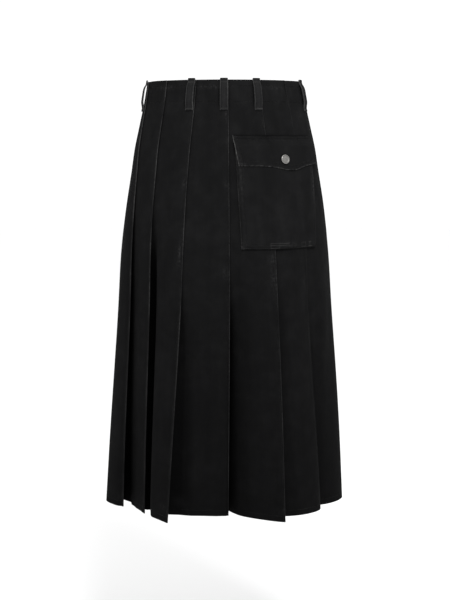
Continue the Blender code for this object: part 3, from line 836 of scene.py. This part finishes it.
LOOPS = {                # the pleat whose fold edge each belt loop lies beside
    "belt_loop_side_left": 0, "belt_loop_back_left": 2, "belt_loop_back_centre": 3,
    "belt_loop_back_right": 4, "belt_loop_side_right": 6, "belt_loop_front_right": 9,
    "belt_loop_front_left": 11,
}
PAINTED_LOOP_SHADOW = 0.42        # how dark the painted shadow under and beside a belt loop is
SHADE_BEFORE = 0.008     # from the loop's fold edge back to the middle of that painted shadow
SHADE_HALF_WIDTH = 0.0105
SHADE_END, SHADE_RUN = 0.046, 0.008      # depth where it ends, and over how much

# painted shade in an open pleat's gap, in degrees past the fold edge before it: where the
# painted black ends and over how much, then how dark, from where and how far a fainter shade runs
PLEAT_SHADES = {
    1: (-6.0, 9.0, 0.10, -2.0, 12.0),
    2: (1.3, 2.1, 0.0, 0.0, 1.0),
    3: (-9.0, 1.0, 0.34, -5.6, 13.0),
    4: (1.2, 2.4, 0.40, 0.0, 17.0),
    5: (-9.0, 1.0, 0.06, 3.5, 10.0),
    6: (-9.0, 1.0, 0.20, 8.0, 12.0),
}
PLEAT_SHADE = (0.3, 3.2, 0.32, 0.0, 12.0)
# painted contact shadow along each fold edge
CONTACT_SHADE = 0.45     # beside a fold edge, stitched or open, and the degrees it runs
CONTACT_RUN = 1.1


def painted_pleat_shade(index, past, depths):
    """Painted shade on a panel beside the fold edge before it: an open pleat's gap and a contact
    shadow.
    """
    black_end, black_run, shade, shade_start, shade_run = PLEAT_SHADES.get(index, PLEAT_SHADE)
    black = 1 - eased((past - black_end) / black_run)
    shade = shade * (1 - eased((past - shade_start) / shade_run))
    contact = CONTACT_SHADE * (1 - eased(past / CONTACT_RUN))
    return np.maximum(np.maximum(black, shade) * opening(index - 1, depths)[:, None], contact)


def rub_at(angle, depth):
    """How worn the cloth is at a place, from the listed patches."""
    return clamped(sum(
        strength * spot(arc_past(turn, angle), half_width, depth - level, half_height)
        for turn, level, half_width, half_height, strength in RUBS))


def painted_loop_shadow(angle, depth):
    """Painted shadow on the cloth under and beside the belt loops."""
    off = [arc_past(edge_angle(index, 0.02), angle) for index in LOOPS.values()]
    across = sum(np.exp(-((x + SHADE_BEFORE) / SHADE_HALF_WIDTH) ** 4) for x in off)
    return PAINTED_LOOP_SHADOW * across * (1 - eased((depth - SHADE_END) / SHADE_RUN))


def fold_frame(index, depths):
    """A fold edge's line, the way its lap points, and the way its outer face looks."""
    edge = edge_angle(index, depths)
    fold, before = (body_point(angle, depths, (panel_rise(index, angle, depths)
                                               + underlay_rise(index, angle, depths)) / 2)
                    for angle in (edge, between(edge, tuck_angle(index, depths), 0.5)))
    forward = unit((fold - before) * (1.0, 1.0, 0.0))
    return fold, forward, sideways(forward)


def inner_fold(index, depths):
    """Where a pleat's underlay ends and the next panel begins, closed face to face."""
    tuck = tuck_angle(index, depths)
    halfway = between(tuck, edge_angle(index, depths), 0.5)
    fold, after = ((body_point(angle, depths, underlay_rise(index, angle, depths))
                    + body_point(angle, depths, panel_rise(index + 1, angle, depths))) / 2
                   for angle in (tuck, halfway))
    apart = sideways(unit(after - fold)) * (CLOTH * INNER_FOLD)
    return fold + apart, fold - apart


def lap_points(end, reading, index, tuck, edge, depths):
    """A lap's points: straight from its inner fold to half-way, then on towards the fold edge."""
    halfway = between(tuck, edge, 0.5)
    half_point = body_point(halfway, depths, reading(index, halfway, depths))
    straight = between(end[:, None], half_point[:, None], np.array([0.0, 0.5])[None, :, None])
    angles = between(halfway[:, None], edge[:, None], HALF_LAP)
    level = depths[:, None]
    return joined(straight, body_point(angles, level, reading(index, angles, level)))


def panel_course(index, depths):
    """Middle lines of a panel and its underlay at the given depths, and its fold edge's column."""
    level = depths[:, None]
    start = edge_angle(index - 1, depths)
    tuck, edge = tuck_angle(index, depths), edge_angle(index, depths)
    hidden = lap_points(inner_fold(index - 1, depths)[1], panel_rise, index,
                        tuck_angle(index - 1, depths), start, depths)
    angles = joined(between(start[:, None], tuck[:, None], SHOWN),
                    between(tuck[:, None], edge[:, None], OVER_LAP))
    shown = body_point(angles, level, panel_rise(index, angles, level))
    under = lap_points(inner_fold(index, depths)[0], underlay_rise, index, tuck, edge, depths)

    fold, forward, outward = (lines[:, None] for lines in fold_frame(index, depths))
    half = LAYER / 2
    laid = fold - forward * CREASE
    turns = FOLD_TURNS[None, :, None]
    bend = fold - forward * half * (1 - np.cos(turns)) + outward * half * np.sin(turns)
    course = joined(hidden, shown, laid + outward * half, bend, laid - outward * half,
                    under[:, ::-1])
    return course, hidden.shape[1] + shown.shape[1] + 1 + len(FOLD_TURNS) // 2


def offset_course(course, distance):
    """Level lines moved sideways, square to themselves, to the outside of the skirt."""
    steps = unit(np.diff(course, axis=1))
    arriving = joined(steps[:, :1], steps)
    heading = unit(arriving + joined(steps, steps[:, -1:]))
    stretch = 1 / np.maximum(np.sum(heading * arriving, axis=-1, keepdims=True), 0.6)
    return course + sideways(heading) * distance * stretch


def angle_of(points):
    """The angle round the body that a point was laid at."""
    half_width, back, front = ring_at(TOP_EDGE_Z - points[..., 2])
    half_depth = np.where(points[..., 1] < 0, back, front)
    return np.degrees(np.arctan2(points[..., 0] / half_width, -points[..., 1] / half_depth))


def panel_stitches(index):
    """The edge row beside the fold, the rows at the waist and the row at the hem."""
    rise = CLOTH / 2 + THREAD_RISE
    fold, forward, outward = fold_frame(index, np.linspace(0.002, LENGTH - 0.002, 240))
    rows = [row_along(fold - forward * EDGE_ROW + outward * (LAYER / 2 + rise), outward)]
    for depth in (*WAIST_ROWS, LENGTH - HEM_ROW):
        start = edge_angle(index - 1, depth) + ROW_START * (depth in WAIST_ROWS)
        angles = np.linspace(start, edge_angle(index, depth) - ROW_STOP, 40)
        points = body_point(angles, depth, panel_rise(index, angles, depth) + rise)
        along = unit(np.gradient(points, axis=0))
        rows.append((points, along, sideways(along)))
    return rows


def panel_name(index):
    return f"pleat_panel_{index % len(PLEATS) + 1:02d}"


def make_panel(index):
    name = panel_name(index)
    course, fold_column = panel_course(index, DEPTHS)
    angles = angle_of(course)
    across = lengths_along(course, axis=1)
    across = across - across[:, fold_column:fold_column + 1]
    down = lengths_along(course, axis=0)
    from_top = DEPTHS[:, None] + np.zeros(across.shape)
    reach = np.stack([np.abs(across), from_top, LENGTH - from_top], axis=-1)
    past = turn_past(edge_angle(index - 1, DEPTHS)[:, None], angles)
    # wear patches, less the painted shade of open pleats' gaps and of the belt loops; the hidden
    # laps get painted shade
    wear_and_painted_light = np.where(np.arange(across.shape[1]) <= fold_column,
                   rub_at(angles, from_top) - painted_pleat_shade(index, past, DEPTHS)
                   - painted_loop_shadow(angles, from_top), HIDDEN_LAP_SHADE)
    panel = make_wall(name, offset_course(course, CLOTH / 2), offset_course(course, -CLOTH / 2),
                      np.stack([across, -down], axis=-1), reach, wear_and_painted_light, panel_denim)
    sew(name + "_stitches", panel_stitches(index))


# ---- Belt loops ----

LOOP_WIDTH = 0.0122
LOOP_CLOTH = 0.0024      # folded strip
LOOP_SIDE = 0.78         # its thickness at its sides, as a share
LOOP_CROWN = 0.0004      # more of it in its middle
LOOP_INSET = 0.0010      # from the fold edge to the loop's side
LOOP_BOW = 0.0036
LOOP_DEPTHS = (-0.0025, 0.0040, 0.0085, 0.0150, 0.0290, 0.0370, 0.0440, 0.0475, 0.0525)
LOOP_STANDS = (0.0, 0.0, 0.62, 1.0, 1.0, 0.86, 0.25, 0.0, 0.0)
LOOP_SHARES = np.array([0.0, 0.03, 0.09, 0.17, 0.30, 0.5, 0.70, 0.83, 0.91, 0.97, 1.0])
LOOP_TACKS = (0.0035, 0.0495)
LOOP_END_RUB, LOOP_BOW_RUB = 0.18, 0.08


def make_belt_loop(name, index):
    """A strip beside a fold edge, tacked down at both ends and bowed out for the belt."""
    depths = np.linspace(LOOP_DEPTHS[0], LOOP_DEPTHS[-1], 44)
    level = depths[:, None]
    edge = edge_angle(index, depths)[:, None]
    left, right = (edge - degrees_of(length, edge_angle(index, 0.0) - 1.0, 0.0)
                   for length in (LOOP_WIDTH + LOOP_INSET, LOOP_INSET))
    angles = between(left, right, LOOP_SHARES)
    stand = clamped(curve_through(LOOP_DEPTHS, LOOP_STANDS, depths))[:, None]
    crown = LOOP_CROWN * (1 - (2 * LOOP_SHARES - 1) ** 4)
    inner = outer_rise(angles, level) + SEAM_GAP + LOOP_BOW * stand
    face = body_point(angles, level, inner + LOOP_CLOTH * LOOP_SIDE + crown)
    run = lengths_along(face, axis=0)
    u = LOOP_SHARES * LOOP_WIDTH + np.zeros(run.shape)
    reach = np.stack([np.minimum(u, LOOP_WIDTH - u), run, run[-1:] - run], axis=-1)
    ends = clamped(spot(level - 0.0020, 0.0040) + spot(level - 0.0505, 0.0025))
    wear_and_painted_light = LOOP_END_RUB * ends + LOOP_BOW_RUB * stand + np.zeros(run.shape)
    loop = make_wall(name, face, body_point(angles, level, inner), np.stack([u, -run], axis=-1),
                     reach, wear_and_painted_light, loop_denim)

    rows = sew(name + "_stitches", rows_on(face, [(slice(3, -3), c) for c in (3, 7)]))
    tacks = sew_tacks(name + "_tacks", rows_on(
        face, [(int(np.argmin(np.abs(depths - depth))), slice(1, -1)) for depth in LOOP_TACKS],
        across=True))


# ---- Cargo pocket ----

POCKET_MOUTH = 0.114     # depth of the pocket's open top
POCKET_BOTTOM = 0.294
POCKET_LEFT = (6.1, 8.8)      # direction of its sides at the mouth and at the bottom
POCKET_RIGHT = (66.2, 58.5)
POCKET_STAND = 0.0035    # its outer face above the skirt along its sides
POCKET_PUFF = 0.0060     # more in its middle
POCKET_ROUND = 0.0030    # radius of its turned sides
FOOT_GAP = 0.0009

FLAP_CLOTH = 0.0022      # two layers
FLAP_TOP = 0.096
FLAP_SEWN = 0.008        # height of its stitched top
FLAP_LEFT = (4.6, 7.9)   # direction of its sides at its top and at its corners
FLAP_RIGHT = (66.8, 69.2)
FLAP_CORNER = 0.146      # depth that its sides' lower directions are given for
FLAP_SHARES = (0.0, 0.27, 0.535, 0.76, 1.0)              # along its lower edge, from its left
FLAP_DEPTHS = (0.1495, 0.1505, 0.1570, 0.1492, 0.1452)   # corner, level run, point, rise, corner
FLAP_CLEAR = 0.0006      # over the pocket
FLAP_ROUND = 0.0009      # how far its edges round off
FLAP_QUILT, POCKET_QUILT = 0.0004, 0.0005     # how far they swell between rows of stitches

# creases across the pocket's front: place across and down (shares), lean, half length, half
# width and height
POCKET_CREASES = (
    (0.18, 0.62, -24.0, 0.045, 0.0070, -0.0009),
    (0.36, 0.40, 8.0, 0.050, 0.0090, 0.0008),
    (0.60, 0.55, -6.0, 0.060, 0.0100, -0.0009),
    (0.78, 0.34, 22.0, 0.040, 0.0080, 0.0009),
    (0.86, 0.80, -34.0, 0.032, 0.0070, -0.0010),
    (0.14, 0.90, 40.0, 0.024, 0.0060, 0.0008),
)
# how far in from an edge the pocket's and the flap's grid lines lie
EDGE_STEPS = np.array([0.0, 3e-4, 8e-4, 0.0015, 0.0024, 0.0034, 0.0050, 0.0070, 0.0085, 0.0105])
# tacks along the pocket's bottom: grid lines up from it, and first and last column; then the
# columns of those that run down
POCKET_TACKS = ((9, 21, 33), (7, 21, 31), (4, 21, 26), (9, 43, 47), (9, 50, 52), (5, 43, 47),
                (5, 50, 53))
POCKET_TACK_COLUMNS = (21, 26, 43, 47, 51)


def pocket_side_angles(depth):
    share = (depth - POCKET_MOUTH) / (POCKET_BOTTOM - POCKET_MOUTH)
    return between(*POCKET_LEFT, share), between(*POCKET_RIGHT, share)


def pocket_rise(angle, depth):
    """Rise of the pocket's outer face, flat at its sides and fuller in its middle."""
    left, right = pocket_side_angles(depth)
    across = clamped((angle - left) / (right - left))
    down = clamped((depth - POCKET_MOUTH) / (POCKET_BOTTOM - POCKET_MOUTH))
    puff = np.sin(math.pi * across) ** 0.8 * np.sin(math.pi * between(0.25, 1.0, down)) ** 0.8
    return bridge_rise(angle, depth) + POCKET_STAND + POCKET_PUFF * puff


def foot_rise(angle, depth):
    """Rise of an edge that is sewn down to the skirt."""
    return outer_rise(angle, depth) + FOOT_GAP


def set_in_rows(left, right, level):
    """Angles from a left side to a right one, close together beside both."""
    near_left = left[:, None] + degrees_of(1.0, left, level)[:, None] * EDGE_STEPS
    near_right = right[:, None] - degrees_of(1.0, right, level)[:, None] * EDGE_STEPS[::-1]
    middle = between(near_left[:, -1:], near_right[:, :1], np.linspace(0.0, 1.0, 46)[1:-1])
    return joined(near_left, middle, near_right)


def from_sides(left, angles, right, level):
    """Distances of places on the cloth from its left and right sides."""
    degrees = degrees_of(1.0, angles, level)
    return (angles - left[:, None]) / degrees, (right[:, None] - angles) / degrees


def make_pocket():
    """The bag: a front with its sides and bottom turned in to the skirt, open at the top."""
    down = np.concatenate([np.linspace(POCKET_MOUTH, POCKET_BOTTOM - EDGE_STEPS[-1], 52)[:-1],
                           (POCKET_BOTTOM - EDGE_STEPS)[::-1]])
    left, right = pocket_side_angles(down)
    angles = set_in_rows(left, right, down)
    level = down[:, None] + np.zeros(angles.shape)
    from_left, from_right = from_sides(left, angles, right, level)
    from_mouth, to_bottom = level - POCKET_MOUTH, POCKET_BOTTOM - level
    to_side = np.minimum(from_left, from_right)
    inward = np.minimum(to_side, to_bottom)
    width, height = from_right[0, 0], POCKET_BOTTOM - POCKET_MOUTH
    dents = POCKET_QUILT * spot(inward - 0.0058, 0.0022) + sum(
        rise * leaning_spot(from_left - x * width, from_mouth - y * height, *form)
        for x, y, *form, rise in POCKET_CREASES)
    full = pocket_rise(angles, level) + dents * clamped(inward / 0.004)
    turned = np.sqrt(1 - (1 - clamped(inward / POCKET_ROUND)) ** 2)
    face = body_point(angles, level, between(foot_rise(angles, level), full, turned))
    # rubbed at its lower left corner, down its left side and at its tacks; the streak down its
    # right side is a painted highlight where that side stands off the skirt
    wear_and_painted_light = (0.90 * spot(from_left, 0.006, to_bottom, 0.008)
           + 0.35 * spot(from_left - 0.006, 0.005, from_mouth - 0.055, 0.050)
           + 0.75 * spot(from_right - 0.006, 0.006, from_mouth - 0.065, 0.030)
           + 0.45 * spot(from_left - 0.078, 0.016, to_bottom - 0.008, 0.006)
           + 0.40 * spot(from_left - 0.135, 0.008, to_bottom - 0.009, 0.006))
    pocket = make_wall("cargo_pocket", face, face - grid_normals(face) * CLOTH,
                       np.stack([from_left, -level], axis=-1),
                       np.stack([to_side, from_mouth + 0.02, to_bottom], axis=-1),
                       clamped(wear_and_painted_light), pocket_denim)

    lines = []
    for step in (4, 8):
        side = slice(None, -step)
        lines += [(side, step), (-1 - step, slice(step, -step)), (side, -1 - step)]
    stitches = sew("cargo_pocket_stitches", rows_on(face, lines))
    lines = [(-1 - step, slice(first, last + 1)) for step, first, last in POCKET_TACKS]
    lines += [(slice(-10, -4), column) for column in POCKET_TACK_COLUMNS]
    tacks = sew_tacks("cargo_pocket_tacks", rows_on(face, lines, across=True), TACK_PITCH * 1.6,
                      TACK_LENGTH * 0.7)


def flap_inner_rise(angle, depth):
    """Rise of the flap's inner face: seated on the skirt at its top, over the pocket below."""
    over = pocket_rise(angle, depth) + FLAP_CLEAR
    lift = eased((depth - FLAP_TOP - FLAP_SEWN) / (POCKET_MOUTH - FLAP_TOP - FLAP_SEWN))
    return between(foot_rise(angle, depth), over, lift)


def make_flap():
    near = EDGE_STEPS / (FLAP_CORNER - FLAP_TOP)
    shares = np.concatenate([near, np.linspace(0.21, 0.79, 18)[1:-1], 1 - near[::-1]])
    left, right = between(*FLAP_LEFT, shares), between(*FLAP_RIGHT, shares)
    angles = set_in_rows(left, right, between(FLAP_TOP, FLAP_CORNER, shares))
    across = clamped((angles - left[:, None]) / (right - left)[:, None])
    bottom = curve_through(FLAP_SHARES, FLAP_DEPTHS, across)
    level = between(FLAP_TOP, bottom, shares[:, None])
    from_left, from_right = from_sides(left, angles, right, level)
    to_side = np.minimum(from_left, from_right)
    from_top, to_bottom = level - FLAP_TOP, bottom - level
    inward = np.minimum(to_side, np.minimum(from_top, to_bottom))
    inner = flap_inner_rise(angles, level)
    rounding = FLAP_ROUND * (1 - clamped(inward / 0.0022)) ** 2
    quilt = FLAP_QUILT * spot(inward - 0.0045, 0.0016)
    face = body_point(angles, level, inner + FLAP_CLOTH - rounding + quilt)
    # rubbed at its lower left corner, left side and lower edge, with a painted shade along its top
    # edge
    wear_and_painted_light = (0.90 * spot(from_left, 0.009, to_bottom, 0.006) + 0.30 * spot(from_left, 0.005)
           + 1.20 * spot(to_bottom, 0.0020) - 0.55 * spot(from_top, 0.0030))
    flap = make_wall("pocket_flap", face, body_point(angles, level, inner + rounding * 0.5),
                     np.stack([from_left, -level], axis=-1),
                     np.stack([to_side, from_top, to_bottom], axis=-1), np.minimum(wear_and_painted_light, 1.0),
                     flap_denim)

    lines = []
    for step in (4, 7):
        run = slice(step, -step)
        lines += [(run, step), (-1 - step, run), (run, -1 - step), (step, run)]
    sew("pocket_flap_stitches", rows_on(face, lines))


# ---- Snap and waist button ----

SNAP_TURN = 35.1         # direction of the snap
SNAP_DEPTH = 0.138
SNAP_PROFILE = (         # radius and height, from the middle of the back to the middle of the face
    (0.0, 0.0), (0.0073, 0.0), (0.0080, 0.0003), (0.0083, 0.0008), (0.0083, 0.0014),
    (0.0081, 0.0020), (0.0077, 0.0025), (0.0071, 0.00272), (0.0065, 0.0027), (0.0060, 0.0023),
    (0.0056, 0.00212), (0.0046, 0.00218), (0.0028, 0.0023), (0.0011, 0.00235), (0.0, 0.00236),
)
BUTTON_PLEAT = 10        # the waist button sits on the centre front panel
BUTTON_BACK = 9.0        # degrees from that panel's fold edge
BUTTON_DEPTH = 0.018
BUTTON_PROFILE = (
    (0.0, 0.0), (0.0032, 0.0), (0.0032, 0.0022), (0.0040, 0.0024), (0.0078, 0.0024),
    (0.0084, 0.0028), (0.0086, 0.0035), (0.0083, 0.0043), (0.0077, 0.0049), (0.0070, 0.0052),
    (0.0063, 0.0051), (0.0056, 0.0046), (0.0048, 0.0044), (0.0024, 0.0046), (0.0, 0.0046),
)


def facing(rise_at, angle, depth):
    """A point on a face given by its rise, and the direction square to the face."""
    step_turn, step_down = 1.0, 0.004

    def at(turn, level):
        return Vector(body_point(turn, level, rise_at(turn, level)))

    beside, before = at(angle + step_turn, depth), at(angle - step_turn, depth)
    below, above = at(angle, depth + step_down), at(angle, depth - step_down)
    return at(angle, depth), (beside - before).cross(above - below).normalized()


def make_metal(node, profile, place):
    point, out = place
    centre = point + out * (SEAM_GAP + profile[-1][1])
    piece = make_turned(node + "_metal", profile, point + out * SEAM_GAP, out,
                        pewter(node + "_pewter", tuple(centre)))
    put_on(piece, node)


def make_snap_and_button():
    make_metal("flap_snap", SNAP_PROFILE,
               facing(lambda turn, level: flap_inner_rise(turn, level) + FLAP_CLOTH,
                      np.array(SNAP_TURN), np.array(SNAP_DEPTH)))
    angle = edge_angle(BUTTON_PLEAT, np.array(BUTTON_DEPTH)) - BUTTON_BACK
    make_metal("waist_button", BUTTON_PROFILE, facing(outer_rise, angle, np.array(BUTTON_DEPTH)))


# ---- Studio ----

FLOOR_Z = -1.06
FLOOR_HALF = 14.0
SKY = 1.08               # strength of the white light all round
KEY_PLACE, KEY_SIZE, KEY_POWER = (0.62, -2.05, 1.75), (1.2, 0.8), 73.0
CAMERA_PLACE = (0.0, -2.47, -0.10)
CAMERA_DOWN = 6.411      # degrees below level
CAMERA_LENS = 80.64
CAMERA_SENSOR = 36.0


def make_studio():
    floor_paint = Recipe("pale_floor").finish(
        {"Base Color": (0.93, 0.93, 0.93, 1.0), "Roughness": 0.9, "Specular IOR Level": 0.1})
    mesh = bpy.data.meshes.new("floor")
    mesh.from_pydata([(x * FLOOR_HALF, y * FLOOR_HALF, FLOOR_Z)
                      for x, y in ((-1, -1), (1, -1), (1, 1), (-1, 1))], [], [(0, 1, 2, 3)])
    mesh.materials.append(floor_paint)
    show("floor", mesh)

    world = bpy.data.worlds.new("studio")
    world.use_nodes = True
    sky = world.node_tree.nodes["Background"].inputs
    sky["Color"].default_value = (1.0, 1.0, 1.0, 1.0)
    sky["Strength"].default_value = SKY
    bpy.context.scene.world = world
    bpy.context.scene.view_settings.view_transform = "Standard"

    lamp = bpy.data.lights.new("key", "AREA")
    lamp.shape = "RECTANGLE"
    lamp.size, lamp.size_y = KEY_SIZE
    lamp.energy = KEY_POWER
    key = show("key", lamp)
    key.location = KEY_PLACE
    key.rotation_euler = (-Vector(KEY_PLACE)).to_track_quat("-Z", "Y").to_euler()

    eye = bpy.data.cameras.new("camera")
    eye.lens = CAMERA_LENS
    eye.sensor_width = CAMERA_SENSOR
    camera = show("camera", eye)
    camera.location = CAMERA_PLACE
    camera.rotation_euler = (math.radians(90.0 - CAMERA_DOWN), 0.0, 0.0)
    bpy.context.scene.camera = camera


# ---- Making the skirt ----

for pleat_index in range(len(PLEATS)):
    make_panel(pleat_index)
for loop_name, loop_pleat in LOOPS.items():
    make_belt_loop(loop_name, loop_pleat)
make_pocket()
make_flap()
make_snap_and_button()
make_studio()
